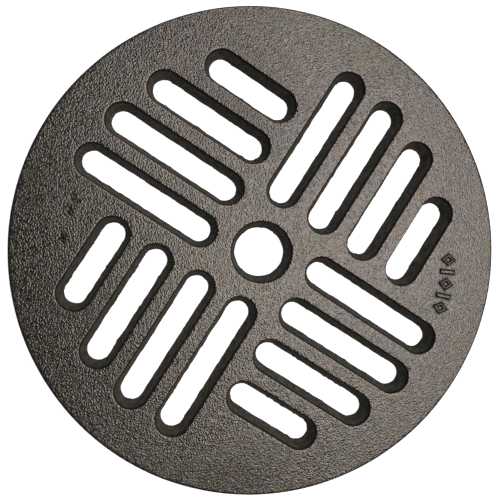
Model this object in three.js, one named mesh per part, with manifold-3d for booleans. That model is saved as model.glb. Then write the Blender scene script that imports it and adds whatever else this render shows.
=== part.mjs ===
// Round floor drain grate: one flat iron casting, pierced by four sets of parallel
// slots in a pinwheel and by one round lifting hole at the middle.
//
// Millimetres, +Z up. The origin is the centre of the underside, which rests in the
// drain's seat, and the slots run along X and Y. Every opening is wider at the top
// than at the bottom, which is the draft that frees the casting from its mould.

import * as THREE from "three";
import { mergeVertices } from "three/addons/utils/BufferGeometryUtils.js";
import Module from "manifold-3d";

// Plate
const DIAMETER = 235;
const THICKNESS = 9.5;
const RIM_DRAFT = 0.15; // how much smaller the rim's radius is at the top
const RIM_EDGE_RADIUS = 1; // rounding of the rim's top edge
const EDGE_RADIUS = 0.5; // rounding of every opening's top edge

// Slots, widths measured at the top and bottom faces
const SETS = 4; // one set of slots for each quarter turn
const SLOTS_PER_SET = 4;
const SLOT_PITCH = 23.6;
const FIRST_SLOT_OFFSET = 6.9; // the innermost slot's centreline, past the plate's centre
const SLOT_TOP_WIDTH = 17.5;
const SLOT_BOTTOM_WIDTH = 11.3;
const SLOT_START = 22; // where each slot's inner end begins, along its own direction
const SLOT_CIRCLE_RADIUS = 98.8; // the circle that every slot's outer end touches

// Lifting hole
const HOLE_TOP_DIAMETER = 30.5;
const HOLE_BOTTOM_DIAMETER = 24.3;

// Row of plain raised marks near the rim, lozenge frames and bars by turns
const MARK_COUNT = 5;
const MARK_RADIUS = 94.2; // distance of the row from the plate's centre
const MARK_ANGLE = 22.8; // direction of the row's middle, in degrees from +X
const MARK_STEP = 3.7; // between neighbours, in degrees
const MARK_LENGTH = 7.4; // measured along the radius
const LOZENGE_WIDTH = 6;
const LOZENGE_OPENING = 0.43; // size of the hollow inside a lozenge, as a share of the lozenge
const BAR_WIDTH = 2;
const MARK_HEIGHT = 0.6;
const MARK_SINK = 0.1; // how far a mark is rooted in the plate
const MARK_TOP_SHARE = 0.85; // size of a mark's top, as a share of its foot

// Fineness of the round surfaces
const RIM_SEGMENTS = 128;
const HOLE_SEGMENTS = 48;
const SLOT_END_SEGMENTS = 12; // round each half-round end
const ROUNDING_SEGMENTS = 2;
const OVERRUN = 1; // how far a cutter stands past each face

const castIron = new THREE.MeshStandardMaterial({
  name: "cast_iron",
  color: 0x57524c,
  roughness: 0.6,
  metalness: 0.3,
});

const wasm = await Module();
wasm.setup();

function solidFrom(geometry) {
  geometry.deleteAttribute("normal");
  geometry.deleteAttribute("uv");
  const merged = mergeVertices(geometry, 1e-4);
  return new wasm.Manifold(
    new wasm.Mesh({
      numProp: 3,
      vertProperties: merged.attributes.position.array,
      triVerts: new Uint32Array(merged.index.array),
    }),
  );
}

function geometryFrom(solid) {
  const { vertProperties, triVerts } = solid.getMesh();
  const geometry = new THREE.BufferGeometry();
  geometry.setAttribute("position", new THREE.BufferAttribute(vertProperties, 3));
  geometry.setIndex(new THREE.BufferAttribute(triVerts, 1));
  geometry.computeVertexNormals();
  return geometry;
}

// Steps of a quarter round at a top edge: how far in from the wall and how high each lies.
function topRounding(radius) {
  return Array.from({ length: ROUNDING_SEGMENTS + 1 }, (_, step) => {
    const turn = ((step / ROUNDING_SEGMENTS) * Math.PI) / 2;
    return {
      inset: radius * (1 - Math.cos(turn)),
      z: THICKNESS - radius * (1 - Math.sin(turn)),
    };
  });
}

// The plain disc, with its drafted rim and rounded top edge.
function plateSolid() {
  const bottomRadius = DIAMETER / 2;
  const topRadius = bottomRadius - RIM_DRAFT;
  const rounding = topRounding(RIM_EDGE_RADIUS);
  const profile = [
    new THREE.Vector2(0, 0),
    new THREE.Vector2(bottomRadius, 0),
    ...rounding.map(({ inset, z }) => new THREE.Vector2(topRadius - inset, z)),
    new THREE.Vector2(0, THICKNESS),
  ];
  const lathed = new THREE.LatheGeometry(profile, RIM_SEGMENTS);
  lathed.rotateX(Math.PI / 2);
  return solidFrom(lathed);
}

// Half widths of an opening at each height, from below the plate to above it. The
// stated top width is the one at the top face, where the rounding ends.
function openingLevels(topWidth, bottomWidth) {
  const wallTop = topWidth / 2 - EDGE_RADIUS;
  const rounding = topRounding(EDGE_RADIUS);
  return [
    { z: -OVERRUN, halfWidth: bottomWidth / 2 },
    { z: 0, halfWidth: bottomWidth / 2 },
    ...rounding.map(({ inset, z }) => ({ z, halfWidth: wallTop + inset })),
    { z: THICKNESS + OVERRUN, halfWidth: topWidth / 2 },
  ];
}

// A cutter with round ends whose end centres lie at x = start and x = end. It is
// extruded one step to a level at half width 1, then each level takes its own place.
function openingSolid(start, end, levels, endSegments) {
  const outline = new THREE.Shape();
  outline.absarc(end, 0, 1, -Math.PI / 2, Math.PI / 2);
  outline.absarc(start, 0, 1, Math.PI / 2, (3 * Math.PI) / 2);
  const cutter = new THREE.ExtrudeGeometry(outline, {
    steps: levels.length - 1,
    depth: levels.length - 1,
    curveSegments: endSegments / 2, // an arc is split into twice this many
    bevelEnabled: false,
  });
  const position = cutter.attributes.position;
  for (let i = 0; i < position.count; i++) {
    const { z, halfWidth } = levels[Math.round(position.getZ(i))];
    const centreX = THREE.MathUtils.clamp(position.getX(i), start, end);
    const outX = position.getX(i) - centreX;
    const outY = position.getY(i);
    position.setXYZ(i, centreX + outX * halfWidth, outY * halfWidth, z);
  }
  return solidFrom(cutter);
}

// Slot number `index` of a set that runs along +X, 0 being the one nearest the centre.
function slotSolid(index) {
  const topHalf = SLOT_TOP_WIDTH / 2;
  const offset = FIRST_SLOT_OFFSET - index * SLOT_PITCH;
  const start = SLOT_START + topHalf;
  const end = Math.sqrt((SLOT_CIRCLE_RADIUS - topHalf) ** 2 - offset ** 2);
  const levels = openingLevels(SLOT_TOP_WIDTH, SLOT_BOTTOM_WIDTH);
  return openingSolid(start, end, levels, SLOT_END_SEGMENTS).translate([0, offset, 0]);
}

function slotSolids() {
  const solids = [];
  for (let set = 0; set < SETS; set++) {
    for (let index = 0; index < SLOTS_PER_SET; index++) {
      solids.push(slotSolid(index).rotate([0, 0, (360 / SETS) * set]));
    }
  }
  return solids;
}

function holeSolid() {
  const levels = openingLevels(HOLE_TOP_DIAMETER, HOLE_BOTTOM_DIAMETER);
  return openingSolid(0, 0, levels, HOLE_SEGMENTS / 2);
}

// A four-sided peg around the Z axis, `length` by `width` at its foot and `topShare` of
// that at its top, with its corners on the X and Y axes if it is a lozenge.
function pegSolid(length, width, topShare, isLozenge) {
  const height = MARK_HEIGHT + MARK_SINK;
  const firstCorner = isLozenge ? 0 : Math.PI / 4;
  const acrossUnit = isLozenge ? 1 : Math.SQRT1_2;
  const peg = new THREE.CylinderGeometry(topShare / 2, 0.5, height, 4, 1, false, firstCorner);
  peg.rotateX(Math.PI / 2);
  peg.scale(length / acrossUnit, width / acrossUnit, 1);
  peg.translate(0, 0, THICKNESS + MARK_HEIGHT - height / 2);
  return solidFrom(peg);
}

function barSolid() {
  return pegSolid(MARK_LENGTH, BAR_WIDTH, MARK_TOP_SHARE, false);
}

// The hollow narrows downwards as the frame widens, and goes down to the plate's face.
function lozengeSolid() {
  const hollowLength = MARK_LENGTH * LOZENGE_OPENING;
  const hollowWidth = LOZENGE_WIDTH * LOZENGE_OPENING;
  const hollow = pegSolid(hollowLength, hollowWidth, 1 / MARK_TOP_SHARE, true);
  return pegSolid(MARK_LENGTH, LOZENGE_WIDTH, MARK_TOP_SHARE, true).subtract(hollow);
}

function markSolids() {
  return Array.from({ length: MARK_COUNT }, (_, index) => {
    const angle = MARK_ANGLE + (index - (MARK_COUNT - 1) / 2) * MARK_STEP;
    const mark = index % 2 === 0 ? lozengeSolid() : barSolid();
    return mark.translate([MARK_RADIUS, 0, 0]).rotate([0, 0, angle]);
  });
}

function castGrate() {
  let solid = plateSolid();
  for (const opening of [...slotSolids(), holeSolid()]) {
    solid = solid.subtract(opening);
  }
  for (const mark of markSolids()) {
    solid = solid.add(mark);
  }
  const mesh = new THREE.Mesh(geometryFrom(solid), castIron);
  mesh.name = "cast_grate";
  return mesh;
}

const drainGrate = new THREE.Group();
drainGrate.name = "floor_drain_grate";
drainGrate.add(castGrate());

export default drainGrate;
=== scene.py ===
"""A round cast-iron floor drain grate on a white studio floor.

The plate is one casting, so the object is one piece: a closed skin with rounded and drafted
edges, a sand-cast grain in its surface and a ragged flash along the foot of every opening.
"""

import math

import bpy
import numpy as np
from mathutils import Matrix, Vector, noise
from mathutils.geometry import delaunay_2d_cdt


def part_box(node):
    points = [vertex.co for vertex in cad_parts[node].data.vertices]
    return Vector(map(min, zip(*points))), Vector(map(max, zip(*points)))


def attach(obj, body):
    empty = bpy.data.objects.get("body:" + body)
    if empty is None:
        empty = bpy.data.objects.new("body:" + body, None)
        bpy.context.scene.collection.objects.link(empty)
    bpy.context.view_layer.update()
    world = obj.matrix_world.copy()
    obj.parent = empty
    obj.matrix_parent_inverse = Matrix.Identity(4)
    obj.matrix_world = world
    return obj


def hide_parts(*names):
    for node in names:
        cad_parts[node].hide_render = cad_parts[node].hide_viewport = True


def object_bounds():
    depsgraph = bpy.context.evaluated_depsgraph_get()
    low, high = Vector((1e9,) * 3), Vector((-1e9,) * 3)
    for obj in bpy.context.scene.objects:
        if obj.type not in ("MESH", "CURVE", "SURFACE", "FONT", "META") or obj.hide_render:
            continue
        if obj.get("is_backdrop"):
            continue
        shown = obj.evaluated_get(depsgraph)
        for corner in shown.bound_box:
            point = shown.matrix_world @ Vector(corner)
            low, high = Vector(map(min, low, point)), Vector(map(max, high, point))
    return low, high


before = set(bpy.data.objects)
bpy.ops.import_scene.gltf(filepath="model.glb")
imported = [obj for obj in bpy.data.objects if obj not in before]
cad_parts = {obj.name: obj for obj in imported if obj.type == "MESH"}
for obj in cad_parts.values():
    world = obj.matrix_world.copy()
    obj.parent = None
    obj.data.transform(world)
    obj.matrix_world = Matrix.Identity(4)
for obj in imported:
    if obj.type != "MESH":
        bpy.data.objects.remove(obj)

MM = 0.001
NODE = "cast_grate"

# The casting's driving dimensions, as in the CAD model
SETS = 4
SLOTS_PER_SET = 4
SLOT_PITCH = 23.6 * MM
FIRST_SLOT_OFFSET = 6.9 * MM
SLOT_TOP_HALF = 8.75 * MM
SLOT_FOOT_HALF = 5.65 * MM
SLOT_START = 22 * MM
SLOT_CIRCLE_RADIUS = 98.8 * MM
HOLE_TOP_RADIUS = 15.25 * MM
HOLE_FOOT_RADIUS = 12.15 * MM
RIM_DRAFT = 0.15 * MM
EDGE_RADIUS = 0.5 * MM
RIM_EDGE_RADIUS = 1 * MM
SHOULDER = 0.9 * MM  # how far out from an opening's wall the face starts to fall to its edge
RIM_SHOULDER = 1.6 * MM
RIM_PROUD = 0.2 * MM  # how far the rough skin of the rim stands outside the CAD rim
MARK_COUNT = 5
MARK_RADIUS = 94.2 * MM
MARK_ANGLE = 22.8
MARK_STEP = 3.7
MARK_LENGTH = 7.4 * MM
LOZENGE_WIDTH = 6 * MM
LOZENGE_OPENING = 0.43
BAR_WIDTH = 2 * MM
MARK_HEIGHT = 0.6 * MM

# Fineness of the skin
TOP_SPACING = 0.8 * MM
BOTTOM_SPACING = 2.2 * MM
EDGE_SPACING = 1.0 * MM
DETAIL_SPACING = 0.25 * MM
DETAIL_MARGIN = 0.6 * MM  # how far the finest spacing goes round a mark or a scar
JITTER = 0.15  # of the spacing
EDGE_TILTS = (8, 16, 27, 41, 58)  # of the skin round a top edge, in degrees, ring by ring
WALL_STEPS = 4
FOOT_RADIUS = 0.25 * MM
FOOT_CHAMFER = 0.3  # where the one ring on the foot's rounding lies, as a share of its radius
INNER_CLEARANCE = 0.6  # of a grid's points from the walls, as a share of their spacing
GRID_SEEDS = (1, 2, 3)  # of the top face, the bottom face and the fine spacing

# Sand-cast relief in the skin itself, as (size of its features, how far it stands in or out)
GRAIN = [(1.0 * MM, 0.04 * MM), (2.0 * MM, 0.03 * MM)]
SWELL = [(14 * MM, 0.05 * MM), (45 * MM, 0.10 * MM)]

# Ragged flash round the foot of every opening
FLASH_REACH = 0.45 * MM
FLASH_LAYERS = [(9 * MM, 0.45), (4 * MM, 0.55), (1.2 * MM, 0.2)]
FLASH_HEIGHT = 2.0 * MM
CRUMB_LAYERS = [(1.6 * MM, 1.0)]
CRUMB_LEVEL = 0.3  # the height of that relief above which a crumb of flash stands out
CRUMB_SIZE = 2.0
FLASH_REGION = 3 * FOOT_RADIUS  # flash stands only this near an opening's foot
RIM_CLEARANCE = 2 * MM  # and farther than this inside the rim

# Shallow scars in the skin, each a few short random strokes about a centre
SCARS = [(-87.0, -32.0, 0.7), (-87.6, -26.8, 0.7), (-81.3, -44.8, 1.0)]  # x, y in mm, strength
SCAR_STROKES = 5
SCAR_SPREAD = 2.0 * MM
SCAR_LENGTH = 1.8 * MM
SCAR_WIDTH = 0.65 * MM
SCAR_DEPTH = 0.4 * MM
SCAR_SEED = 4

# Depth at which the wall's look starts, and how much deeper it is full
WALL_FADE = (0.2 * EDGE_RADIUS, 0.8 * EDGE_RADIUS)
LIP_TOP = 0.3 * MM  # painted shade: the darker band under every top edge is full from this depth
LIP_DEPTH = 2.0 * MM  # and fades by this one
EDGE_START = 0.01 * MM  # the polish of a worn edge, and its painted highlight, start at this depth
EDGE_WEAR_AND_HIGHLIGHT = 0.1 * MM  # how far down the shoulder the polish and painted highlight of an edge reach
MARK_FLANK = 0.35 * MM  # width of a raised mark's sloping side
MARK_DIRT_AND_SHADE = 0.2 * MM  # half the width of the full dirt and painted shade in the line round it
MARK_DIRT_AND_SHADE_FADE = 0.55 * MM  # and how far that takes to fade on each side

# The material's own grain, too fine for the skin
GRAIN_TURN = (0.5, 0.35, 0.8)  # so that no face lies along the rows of the noise's grid
FINE_GRAIN_SIZE = 0.68 * MM
FINE_GRAIN_HEIGHT = 0.262 * MM
FINE_GRAIN_DETAIL = 0.0

# The iron's look
FACE_IRON = (0.0676, 0.0595, 0.0515, 1)
WALL_IRON = (0.060, 0.054, 0.0465, 1)
# near-black colour of the dirt at the marks and scars and of the painted shade under top edges
GRIME_AND_PAINTED_SHADE = (0.006, 0.0055, 0.0045, 1)
SPECK_SIZE = 0.42 * MM
NOISE_RANGE = (0.3, 0.7)  # the middle stretch of a noise, which is spread over a look's range
SPECK_SHADES = (0.5, 1.5)
SPECK_RED = (1.08, 0.92)  # share of the red in the darkest and the palest speck
SPECK_BLUE = (0.83, 1.17)  # and of the blue: the hollows are browner than the tips
WEAR_AND_SHADE_AZIMUTH = 75  # the direction in which the face is more worn and the walls are painted darker, in degrees from +X
WORN_SMOOTH = 0.65  # the share of the specks that is worn away on that side
WEAR_AND_SHADE_SPAN = 1.4  # how much of the plate's width the wear and the walls' painted shade take to grow, in plate radii
WALL_PATCH_SIZE = 2.5 * MM
WALL_PATCH_DETAIL = 3.0
WALL_PATCHES = (0.7, 1.3)
WALL_PAINTED_SHADES = (1.08, 0.86)  # painted shade of the walls where the face is least and most worn
# Painted light and shade: brighter and darker patches of the face, as (x, y, reach, in mm, and
# change of brightness)
PAINTED_LIGHT_PATCHES = [(-88, 14, 42, 0.17), (-48, 58, 20, -0.19), (-64, -80, 32, -0.1), (-14, -34, 30, 0.12)]
COARSE_CONTRAST = 0.15
EDGE_POLISH_AND_HIGHLIGHT = 1.33  # how much brighter an edge is, partly polish and partly painted highlight
TINT_SIZE = 9 * MM
TINT_DETAIL = 4.0
TINT_BREAKUP = 0.65
RED_TINT = 0.055
BLUE_TINT = 0.075
WORN_BLUE = (0.95, 1.03)  # share of the blue where the face is least and most worn
FACE_ROUGHNESS = 0.1
WALL_ROUGHNESS = 0.95
METALLIC = 0.8
GRAZING_TINT = (0.35, 0.33, 0.30, 1)

bpy.context.view_layer.update()
cad_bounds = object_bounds()
low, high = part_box(NODE)
PLATE_RADIUS = (high.x - low.x) / 2
BOTTOM = low.z
TOP = high.z - MARK_HEIGHT


# Outlines. Each is a closed counter-clockwise run of feet and directions: a point of the
# skin lies at foot + direction * reach.


def steps_along(length):
    return max(8, round(length / EDGE_SPACING))


def slot_lines():
    """(start, end, offset, quarter turns) of every slot, between its round ends' centres."""
    for quarter in range(SETS):
        for index in range(SLOTS_PER_SET):
            offset = FIRST_SLOT_OFFSET - index * SLOT_PITCH
            end = math.sqrt((SLOT_CIRCLE_RADIUS - SLOT_TOP_HALF) ** 2 - offset**2)
            yield SLOT_START + SLOT_TOP_HALF, end, offset, quarter


def quarter_turns(points, quarters):
    """The points turned by a number of quarter turns about the plate's centre."""
    for _ in range(quarters):
        points = np.stack([-points[:, 1], points[:, 0]], 1)
    return points


def slot_outline(start, end, offset, quarter):
    straight = steps_along(end - start)
    bend = steps_along(math.pi * SLOT_TOP_HALF)
    run = np.linspace(start, end, straight, endpoint=False)
    turn = np.linspace(-math.pi / 2, math.pi / 2, bend, endpoint=False)
    feet_x = [run, np.full(bend, end), start + end - run, np.full(bend, start)]
    angles = [np.full(straight, -math.pi / 2), turn, np.full(straight, math.pi / 2), turn + math.pi]
    feet_x, angles = np.concatenate(feet_x), np.concatenate(angles)
    feet = np.stack([feet_x, np.full(len(feet_x), offset)], 1)
    directions = np.stack([np.cos(angles), np.sin(angles)], 1)
    return quarter_turns(feet, quarter), quarter_turns(directions, quarter)


def circle_outline(radius):
    angles = np.linspace(0, 2 * math.pi, steps_along(2 * math.pi * radius), endpoint=False)
    return np.zeros((len(angles), 2)), np.stack([np.cos(angles), np.sin(angles)], 1)


def profile(wall_reach, foot_reach, side, shoulder, drop):
    """(reach, z) down the wall, from the top face to the bottom face: a shoulder that falls
    as a quarter ellipse, then the drafted wall. side is 1 at the rim, and -1 round an
    opening, where the wall lies nearer the foot line than the face does."""
    wall_tilt = math.pi / 2 - math.atan2((foot_reach - wall_reach) * side, TOP - drop - BOTTOM)
    shoulder_reach = wall_reach - side * shoulder
    points = [(shoulder_reach, TOP)]
    for tilt in [math.radians(degrees) for degrees in EDGE_TILTS] + [wall_tilt]:
        turn = math.atan(math.tan(tilt) * shoulder / drop)
        reach = shoulder_reach + side * shoulder * math.sin(turn)
        points.append((reach, TOP - drop * (1 - math.cos(turn))))
    top_reach, top_z = points[-1]
    for step in range(1, WALL_STEPS + 1):
        z = top_z + (BOTTOM + FOOT_RADIUS - top_z) * step / WALL_STEPS
        points.append((top_reach + (foot_reach - top_reach) * (top_z - z) / (top_z - BOTTOM), z))
    chamfer = FOOT_CHAMFER * FOOT_RADIUS
    points.append((foot_reach - side * chamfer, BOTTOM + chamfer))
    points.append((foot_reach - side * FOOT_RADIUS, BOTTOM))
    return points


class Skin:
    """Vertices and faces of the casting, gathered ring by ring."""

    def __init__(self):
        self.points = []
        self.faces = []

    def add(self, points):
        first = len(self.points)
        self.points.extend(map(tuple, points))
        return list(range(first, len(self.points)))

    def ring(self, outline, reach, z):
        feet, directions = outline
        flat = feet + directions * reach
        return self.add(np.column_stack([flat, np.full(len(flat), z)]))

    def wall(self, outline, *measures):
        """The rings and faces of one wall. Returns its top and bottom ring."""
        side = measures[2]
        rings = [self.ring(outline, reach, z) for reach, z in profile(*measures)]
        for upper, lower in zip(rings, rings[1:]):
            for i in range(len(upper)):
                j = (i + 1) % len(upper)
                quad = (upper[i], upper[j], lower[j], lower[i])
                self.faces.append(quad if side < 0 else quad[::-1])
        return rings[0], rings[-1]

    def face(self, rings, inner, z, up):
        """A flat face between rings, the first of which is the rim's, through inner points."""
        loose = self.add(np.column_stack([inner, np.full(len(inner), z)]))
        corners = [i for ring in rings for i in ring] + loose
        ring_of = {i: n for n, ring in enumerate(rings) for i in ring}
        flat = [Vector(self.points[i][:2]) / MM for i in corners]
        place = {i: n for n, i in enumerate(corners)}
        edges = [(place[a], place[b]) for ring in rings for a, b in zip(ring, ring[1:] + ring[:1])]
        found = delaunay_2d_cdt(flat, edges, [], 0, 1e-6, False)
        assert len(found[0]) == len(flat)
        for triangle in found[2]:
            corner = [corners[i] for i in triangle]
            owners = {ring_of.get(i) for i in corner}
            across_opening = len(owners) == 1 and owners.isdisjoint({None, 0})
            if not across_opening:
                self.faces.append(tuple(corner if up else corner[::-1]))


def clearance(points, slot_half, hole_radius, rim_radius):
    """How far each flat point lies from the nearest wall, on the iron's side."""
    radius = np.hypot(points[:, 0], points[:, 1])
    nearest = np.minimum(radius - hole_radius, rim_radius - radius)
    for start, end, offset, quarter in slot_lines():
        turned = quarter_turns(points, (SETS - quarter) % SETS)
        along = turned[:, 0] - np.clip(turned[:, 0], start, end)
        nearest = np.minimum(nearest, np.hypot(along, turned[:, 1] - offset) - slot_half)
    return nearest


def inner_points(spacing, slot_half, hole_radius, rim_radius, seed):
    """A jittered triangular grid over the iron, clear of its walls."""
    rows = np.arange(-rim_radius, rim_radius, spacing * math.sqrt(3) / 2)
    columns = np.arange(-rim_radius, rim_radius, spacing)
    x, y = np.meshgrid(columns, rows)
    x[1::2] += spacing / 2
    points = np.stack([x.ravel(), y.ravel()], 1)
    shift = np.random.default_rng(seed).uniform(-JITTER, JITTER, points.shape)
    points += shift * spacing
    away = clearance(points, slot_half, hole_radius, rim_radius)
    return points[away > INNER_CLEARANCE * spacing]


# The row of raised marks: lozenge frames and bars by turns


def mark_angles():
    for index in range(MARK_COUNT):
        yield math.radians(MARK_ANGLE + (index - (MARK_COUNT - 1) / 2) * MARK_STEP), index % 2 == 0


def in_mark(points, angle):
    """The points seen from a mark's centre, with the plate's radius as the first axis."""
    c, s = math.cos(angle), math.sin(angle)
    along = points[:, 0] * c + points[:, 1] * s - MARK_RADIUS
    return along, points[:, 1] * c - points[:, 0] * s


def outside_lozenge(along, across, share):
    """Distance outwards from a lozenge's outline, below 0 inside it."""
    half_length, half_width = share * MARK_LENGTH / 2, share * LOZENGE_WIDTH / 2
    inradius = half_length * half_width / math.hypot(half_length, half_width)
    return (np.abs(along) / half_length + np.abs(across) / half_width - 1) * inradius


def outside_bar(along, across):
    return np.maximum(np.abs(along) - MARK_LENGTH / 2, np.abs(across) - BAR_WIDTH / 2)


def smooth(share):
    share = np.clip(share, 0, 1)
    return share * share * (3 - 2 * share)


def outside_mark(points, angle, is_lozenge):
    """Distance outwards from a mark's outline, and from its metal, below 0 inside."""
    along, across = in_mark(points, angle)
    if not is_lozenge:
        outside = outside_bar(along, across)
        return outside, outside
    outline = outside_lozenge(along, across, 1)
    return outline, np.maximum(outline, -outside_lozenge(along, across, LOZENGE_OPENING))


def scar_distances(points):
    """(strength, distance from the nearest stroke) of every scar at each flat point."""
    random = np.random.default_rng(SCAR_SEED)
    for x, y, strength in SCARS:
        nearest = np.full(len(points), np.inf)
        for _ in range(SCAR_STROKES):
            middle = np.array([x, y]) * MM + random.uniform(-1, 1, 2) * SCAR_SPREAD
            heading = random.uniform(0, math.pi)
            half = np.array([math.cos(heading), math.sin(heading)]) * SCAR_LENGTH / 2
            share = np.clip((points - middle) @ half / (half @ half), -1, 1)
            away = points - middle - share[:, None] * half
            nearest = np.minimum(nearest, np.hypot(away[:, 0], away[:, 1]))
        yield strength, nearest


def outside_details(points):
    """How far each flat point lies outside the nearest mark or scar."""
    nearest = np.full(len(points), np.inf)
    for angle, is_lozenge in mark_angles():
        nearest = np.minimum(nearest, outside_mark(points, angle, is_lozenge)[0])
    for _, distance in scar_distances(points):
        nearest = np.minimum(nearest, distance - SCAR_WIDTH)
    return nearest


def detail_relief(points):
    """(height, dirt and painted shade from 0 to 1) that the marks and scars give each flat point.
    """
    height, dirt_and_shade = np.zeros(len(points)), np.zeros(len(points))
    for angle, is_lozenge in mark_angles():
        outside = outside_mark(points, angle, is_lozenge)[1]
        height = np.maximum(height, MARK_HEIGHT * smooth(-outside / MARK_FLANK))
        # dirt and painted shade in the line round each mark's outline
        dirt_and_shade = np.maximum(dirt_and_shade, 1 - smooth((np.abs(outside) - MARK_DIRT_AND_SHADE) / MARK_DIRT_AND_SHADE_FADE))
    for strength, distance in scar_distances(points):
        depth = strength * (1 - smooth((distance - SCAR_WIDTH / 4) / SCAR_WIDTH))
        height -= SCAR_DEPTH * depth
        # a scar's groove is darker by its depth: dirt and painted shade
        dirt_and_shade = np.maximum(dirt_and_shade, depth)
    return height, dirt_and_shade


def relief(points, layers):
    """Sand-cast relief at points in space, from layers of (size, height)."""
    total = np.zeros(len(points))
    for size, height in layers:
        scaled = points / size
        total += height * np.array([noise.noise(Vector(p)) for p in scaled])
    return total


def build_grate():
    skin = Skin()
    top_rings, bottom_rings = [], []
    rim = circle_outline(PLATE_RADIUS)
    rim_foot = PLATE_RADIUS + RIM_PROUD
    rim_wall = rim_foot - RIM_DRAFT
    walls = [(rim, rim_wall, rim_foot, 1, RIM_SHOULDER, RIM_EDGE_RADIUS)]
    hole = circle_outline(HOLE_TOP_RADIUS)
    walls.append((hole, HOLE_TOP_RADIUS - EDGE_RADIUS, HOLE_FOOT_RADIUS, -1, SHOULDER, EDGE_RADIUS))
    slot_wall = SLOT_TOP_HALF - EDGE_RADIUS
    for line in slot_lines():
        walls.append((slot_outline(*line), slot_wall, SLOT_FOOT_HALF, -1, SHOULDER, EDGE_RADIUS))
    for wall in walls:
        top, bottom = skin.wall(*wall)
        top_rings.append(top)
        bottom_rings.append(bottom)
    top_seed, bottom_seed, fine_seed = GRID_SEEDS
    flat = slot_wall + SHOULDER, HOLE_TOP_RADIUS - EDGE_RADIUS + SHOULDER, rim_wall - RIM_SHOULDER
    coarse = inner_points(TOP_SPACING, *flat, top_seed)
    coarse = coarse[outside_details(coarse) > DETAIL_MARGIN + TOP_SPACING / 2]
    fine = inner_points(DETAIL_SPACING, *flat, fine_seed)
    fine = fine[outside_details(fine) < DETAIL_MARGIN]
    skin.face(top_rings, np.concatenate([coarse, fine]), TOP, True)
    flat = SLOT_FOOT_HALF + FOOT_RADIUS, HOLE_FOOT_RADIUS + FOOT_RADIUS, PLATE_RADIUS - FOOT_RADIUS
    under = inner_points(BOTTOM_SPACING, *flat, bottom_seed)
    skin.face(bottom_rings, under, BOTTOM, False)
    mesh = bpy.data.meshes.new("grate_casting")
    mesh.from_pydata(skin.points, [], skin.faces)
    mesh.validate()
    mesh.update()
    roughen(mesh)
    mesh.shade_smooth()
    grate = bpy.data.objects.new("grate_casting", mesh)
    bpy.context.scene.collection.objects.link(grate)
    return grate


def vertex_values(collection, name):
    values = np.zeros(len(collection) * 3)
    collection.foreach_get(name, values)
    return values.reshape(-1, 3)


def share_towards(azimuth, points):
    """How far each point lies towards an azimuth in degrees, as a share of the radius."""
    heading = math.radians(azimuth)
    return (points[:, 0] * math.cos(heading) + points[:, 1] * math.sin(heading)) / PLATE_RADIUS


def roughen(mesh):
    """Stands the skin in and out along its normals, and keeps what the material reads."""
    points = vertex_values(mesh.vertices, "co")
    normals = vertex_values(mesh.vertex_normals, "vector")
    on_top = points[:, 2] > TOP - 1e-6
    height, dirt_and_shade = detail_relief(points[:, :2])
    height *= on_top
    grain = relief(points, GRAIN)
    swell = relief(points, SWELL)
    moved = points + normals * (grain + swell)[:, None]
    moved[:, 2] += height
    low_down = 1 - smooth((points[:, 2] - BOTTOM) / FLASH_HEIGHT)
    in_opening = np.hypot(points[:, 0], points[:, 1]) < PLATE_RADIUS - RIM_CLEARANCE
    from_foot = clearance(points[:, :2], SLOT_FOOT_HALF, HOLE_FOOT_RADIUS, PLATE_RADIUS)
    near_foot = from_foot < FLASH_REGION
    crumbs = np.clip(CRUMB_SIZE * (relief(points, CRUMB_LAYERS) - CRUMB_LEVEL), 0, 1)
    flash = np.clip(0.5 + relief(points, FLASH_LAYERS), 0, 1) + crumbs
    stand = FLASH_REACH * flash * low_down * (in_opening & near_foot)
    level = normals[:, :2] / np.maximum(np.hypot(normals[:, 0], normals[:, 1]), 1e-6)[:, None]
    moved[:, :2] += level * stand[:, None]
    mesh.vertices.foreach_set("co", moved.ravel())
    depth = TOP - points[:, 2]
    wall = smooth((depth - WALL_FADE[0]) / WALL_FADE[1])
    # Painted shade: a darker band just under every top edge, down the upper part of each wall
    lip_painted_shade = smooth(depth / LIP_TOP) * (1 - smooth((depth - LIP_DEPTH / 3) / LIP_DEPTH))
    # partly polish from wear, partly a painted highlight along every top edge's shoulder
    polish_and_highlight = (depth > EDGE_START) * (1 - smooth(depth / EDGE_WEAR_AND_HIGHLIGHT))
    grime_and_painted_shade = np.maximum(dirt_and_shade * on_top, lip_painted_shade)
    # wear of the face, and the side on which the walls are painted darker, growing along one
    # azimuth
    wear_and_shade_side = WORN_SMOOTH * smooth((share_towards(WEAR_AND_SHADE_AZIMUTH, points) + 1) / WEAR_AND_SHADE_SPAN)
    # painted light and shade: patches of the face made brighter or darker
    painted_light = np.ones(len(points))
    for x, y, reach, change in PAINTED_LIGHT_PATCHES:
        away = np.hypot(points[:, 0] - x * MM, points[:, 1] - y * MM)
        painted_light += change * np.exp(-((away / (reach * MM)) ** 2))
    kept = {"grain": grain / GRAIN[-1][1], "grime_and_painted_shade": grime_and_painted_shade, "wall": wall, "wear_and_shade_side": wear_and_shade_side,
            "polish_and_highlight": polish_and_highlight, "painted_light": painted_light}
    for name, values in kept.items():
        mesh.attributes.new(name, "FLOAT", "POINT").data.foreach_set("value", values)
    mesh.update()


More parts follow.
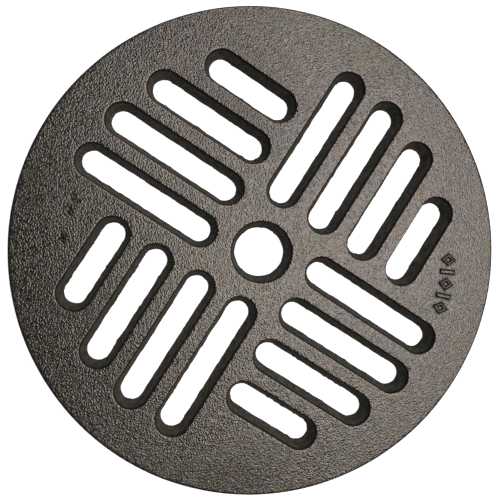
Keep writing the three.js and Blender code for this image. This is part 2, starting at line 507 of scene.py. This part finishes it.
class Nodes:
    """Short ways to add and link a material's nodes."""

    def __init__(self, material):
        material.use_nodes = True
        self.tree = material.node_tree
        self.shader = self.tree.nodes["Principled BSDF"]

    def add(self, kind, inputs=None, **settings):
        node = self.tree.nodes.new("ShaderNode" + kind)
        for name, value in settings.items():
            setattr(node, name, value)
        for name, value in (inputs or {}).items():
            self.feed(value, node.inputs[name])
        return node

    def feed(self, value, socket):
        if isinstance(value, bpy.types.NodeSocket):
            self.tree.links.new(value, socket)
        else:
            socket.default_value = value

    def noise(self, place, size, detail=2.0, roughness=0.5):
        """Noise from 0 to 1 whose features are about `size` across."""
        inputs = {"Vector": place, "Scale": 1 / size, "Detail": detail, "Roughness": roughness}
        return self.add("TexNoise", inputs).outputs["Fac"]

    def ramp(self, value, from_low, from_high, to_low, to_high, kind="SMOOTHSTEP"):
        inputs = {"Value": value, "From Min": from_low, "From Max": from_high,
                  "To Min": to_low, "To Max": to_high}
        return self.add("MapRange", inputs, interpolation_type=kind).outputs["Result"]

    def math(self, operation, first, second):
        return self.add("Math", {0: first, 1: second}, operation=operation).outputs["Value"]

    def mix(self, share, first, second, blend="MIX"):
        node = self.add("Mix", data_type="RGBA", blend_type=blend)
        self.feed(share, node.inputs["Factor"])
        self.feed(first, node.inputs[6])
        self.feed(second, node.inputs[7])
        return node.outputs[2]

    def attribute(self, name):
        return self.add("Attribute", attribute_name=name).outputs["Fac"]


def cast_iron():
    material = bpy.data.materials.new("cast_iron_skin")
    nodes = Nodes(material)
    on_object = nodes.add("TexCoord").outputs["Object"]
    place = nodes.add("Mapping", {"Vector": on_object, "Rotation": GRAIN_TURN}).outputs["Vector"]
    wall = nodes.attribute("wall")
    fine = nodes.noise(place, FINE_GRAIN_SIZE, FINE_GRAIN_DETAIL)

    speck = nodes.ramp(nodes.noise(place, SPECK_SIZE, 0.0), *NOISE_RANGE, *SPECK_SHADES)
    speck = nodes.add("Mix", {"Factor": nodes.attribute("wear_and_shade_side"), 2: speck, 3: 1.0}).outputs[0]
    speck_red = nodes.ramp(speck, *SPECK_SHADES, *SPECK_RED, "LINEAR")
    speck_blue = nodes.ramp(speck, *SPECK_SHADES, *SPECK_BLUE, "LINEAR")
    patch = nodes.noise(place, WALL_PATCH_SIZE, WALL_PATCH_DETAIL)
    patch = nodes.ramp(patch, *NOISE_RANGE, *WALL_PATCHES)
    # painted shade: the walls darker towards the more worn side of the plate
    wall_painted_shade = nodes.ramp(nodes.attribute("wear_and_shade_side"), 0, WORN_SMOOTH, *WALL_PAINTED_SHADES, "LINEAR")
    patch = nodes.math("MULTIPLY", patch, wall_painted_shade)
    speck = nodes.add("Mix", {"Factor": wall, 2: speck, 3: patch}).outputs[0]
    grain_shades = 1 - COARSE_CONTRAST, 1 + COARSE_CONTRAST
    hollow = nodes.ramp(nodes.attribute("grain"), -1, 1, *grain_shades, "LINEAR")
    shade = nodes.math("MULTIPLY", speck, hollow)
    # paler top edges: partly polish, partly painted highlight
    polish_and_highlight = nodes.ramp(nodes.attribute("polish_and_highlight"), 0, 1, 1, EDGE_POLISH_AND_HIGHLIGHT, "LINEAR")
    shade = nodes.math("MULTIPLY", shade, polish_and_highlight)
    # painted light and shade in patches over the face
    shade = nodes.math("MULTIPLY", shade, nodes.attribute("painted_light"))
    tint = nodes.noise(place, TINT_SIZE, TINT_DETAIL, TINT_BREAKUP)
    red = nodes.ramp(tint, *NOISE_RANGE, 1 - RED_TINT, 1 + RED_TINT)
    elsewhere = nodes.add("VectorMath", {0: place, 1: (1, 1, 1)}, operation="ADD").outputs["Vector"]
    tint = nodes.noise(elsewhere, TINT_SIZE, TINT_DETAIL, TINT_BREAKUP)
    blue = nodes.ramp(tint, *NOISE_RANGE, 1 - BLUE_TINT, 1 + BLUE_TINT)
    cool = nodes.ramp(nodes.attribute("wear_and_shade_side"), 0, WORN_SMOOTH, *WORN_BLUE, "LINEAR")
    blue = nodes.math("MULTIPLY", blue, cool)
    red = nodes.math("MULTIPLY", red, speck_red)
    blue = nodes.math("MULTIPLY", blue, speck_blue)
    red, blue = nodes.math("MULTIPLY", red, shade), nodes.math("MULTIPLY", blue, shade)
    shades = nodes.add("CombineColor", {0: red, 1: shade, 2: blue}).outputs[0]
    iron = nodes.mix(1.0, shades, nodes.mix(wall, FACE_IRON, WALL_IRON), "MULTIPLY")
    # Darkens the iron with dirt and painted shade: under top edges, round marks and in scars
    iron = nodes.mix(nodes.attribute("grime_and_painted_shade"), iron, GRIME_AND_PAINTED_SHADE)
    nodes.feed(iron, nodes.shader.inputs["Base Color"])

    rough = nodes.ramp(wall, 0, 1, FACE_ROUGHNESS, WALL_ROUGHNESS, "LINEAR")
    nodes.feed(rough, nodes.shader.inputs["Roughness"])
    nodes.shader.inputs["Metallic"].default_value = METALLIC
    nodes.shader.inputs["Specular Tint"].default_value = GRAZING_TINT

    bump = nodes.add("Bump", {"Height": fine, "Distance": FINE_GRAIN_HEIGHT, "Strength": 1.0})
    nodes.feed(bump.outputs["Normal"], nodes.shader.inputs["Normal"])
    return material


grate = build_grate()
grate.data.materials.append(cast_iron())
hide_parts(NODE)
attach(grate, "root")


# Studio

CAMERA_TARGET = Vector((-6.53 * MM, -2.09 * MM, 9.5 * MM))
CAMERA_DISTANCE = 309.9 * MM
CAMERA_AZIMUTH = math.radians(-155.99)
CAMERA_ELEVATION = math.radians(82.36)
CAMERA_ROLL = math.radians(98.64)
CAMERA_LENS = 46.92
CAMERA_SENSOR = 36
CAMERA_CLIP_START = 0.01

FLOOR_REACH = 20
FLOOR_GREY = (0.3, 0.3, 0.3, 1)
FLOOR_ROUGHNESS = 0.9
FLOOR_GLOW = (1, 1, 1, 1)
FLOOR_GLOW_STRENGTH = 0.9

# The studio's own brightness round the horizon and overhead, and the elevations in degrees
# between which it falls
PALE = 1.0
DIM = 0.05
PALE_UP_TO = 12
DIM_FROM = 35

# Softboxes, as (azimuth from the picture's right, elevation, distance, width, depth, power)
KEY_LIGHT = (1.8, 70.9, 0.8, 0.851, 0.654, 8.45)
FILL_LIGHT = (80, 32, 0.8, 0.6, 0.4, 3.0)
SIDE_LIGHT = (-10, 25, 0.8, 0.5, 0.4, 1.4)


def add_camera():
    camera = bpy.data.objects.new("camera", bpy.data.cameras.new("camera"))
    bpy.context.scene.collection.objects.link(camera)
    back = Vector((math.cos(CAMERA_ELEVATION) * math.cos(CAMERA_AZIMUTH),
                   math.cos(CAMERA_ELEVATION) * math.sin(CAMERA_AZIMUTH),
                   math.sin(CAMERA_ELEVATION)))
    level_right = Vector((-math.sin(CAMERA_AZIMUTH), math.cos(CAMERA_AZIMUTH), 0))
    right = Matrix.Rotation(CAMERA_ROLL, 3, back) @ level_right
    turn = Matrix((right, back.cross(right), back)).transposed()
    camera.matrix_world = Matrix.Translation(CAMERA_TARGET + back * CAMERA_DISTANCE) @ turn.to_4x4()
    camera.data.lens = CAMERA_LENS
    camera.data.sensor_width = CAMERA_SENSOR
    camera.data.clip_start = CAMERA_CLIP_START
    bpy.context.scene.camera = camera


def add_floor():
    mesh = bpy.data.meshes.new("floor")
    corners = [(-FLOOR_REACH, -FLOOR_REACH, 0), (FLOOR_REACH, -FLOOR_REACH, 0),
               (FLOOR_REACH, FLOOR_REACH, 0), (-FLOOR_REACH, FLOOR_REACH, 0)]
    mesh.from_pydata(corners, [], [(0, 1, 2, 3)])
    floor = bpy.data.objects.new("floor", mesh)
    bpy.context.scene.collection.objects.link(floor)
    material = bpy.data.materials.new("floor_white")
    material.use_nodes = True
    shader = material.node_tree.nodes["Principled BSDF"]
    shader.inputs["Base Color"].default_value = FLOOR_GREY
    shader.inputs["Roughness"].default_value = FLOOR_ROUGHNESS
    shader.inputs["Emission Color"].default_value = FLOOR_GLOW
    shader.inputs["Emission Strength"].default_value = FLOOR_GLOW_STRENGTH
    mesh.materials.append(material)
    floor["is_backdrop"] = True


def add_light(name, azimuth, elevation, distance, width, depth, power):
    """An area light that faces the plate, at an azimuth measured from the picture's right."""
    light = bpy.data.objects.new(name, bpy.data.lights.new(name, "AREA"))
    bpy.context.scene.collection.objects.link(light)
    light.data.shape = "RECTANGLE"
    light.data.size = width
    light.data.size_y = depth
    light.data.energy = power
    right = bpy.context.scene.camera.matrix_world.col[0].xyz
    heading = math.atan2(right.y, right.x) + math.radians(azimuth)
    level = math.cos(math.radians(elevation)) * distance
    height = math.sin(math.radians(elevation)) * distance
    light.location = (level * math.cos(heading), level * math.sin(heading), height)
    light.rotation_mode = "QUATERNION"
    light.rotation_quaternion = light.location.to_track_quat("Z", "Y")


def add_world():
    """A studio that is pale round the horizon and dim overhead."""
    world = bpy.data.worlds.new("studio")
    bpy.context.scene.world = world
    world.use_nodes = True
    tree = world.node_tree
    direction = tree.nodes.new("ShaderNodeTexCoord").outputs["Generated"]
    parts = tree.nodes.new("ShaderNodeSeparateXYZ")
    tree.links.new(direction, parts.inputs["Vector"])
    fall = tree.nodes.new("ShaderNodeMapRange")
    fall.interpolation_type = "SMOOTHSTEP"
    tree.links.new(parts.outputs["Z"], fall.inputs["Value"])
    fall.inputs["From Min"].default_value = math.sin(math.radians(PALE_UP_TO))
    fall.inputs["From Max"].default_value = math.sin(math.radians(DIM_FROM))
    fall.inputs["To Min"].default_value = PALE
    fall.inputs["To Max"].default_value = DIM
    tree.links.new(fall.outputs["Result"], tree.nodes["Background"].inputs["Color"])


add_camera()
add_floor()
add_light("key", *KEY_LIGHT)
add_light("fill", *FILL_LIGHT)
add_light("side", *SIDE_LIGHT)
add_world()
bpy.context.scene.view_settings.view_transform = "Standard"

bpy.context.view_layer.update()
bounds = {"cad": cad_bounds, "visual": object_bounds()}
{name: [list(corner) for corner in box] for name, box in bounds.items()}
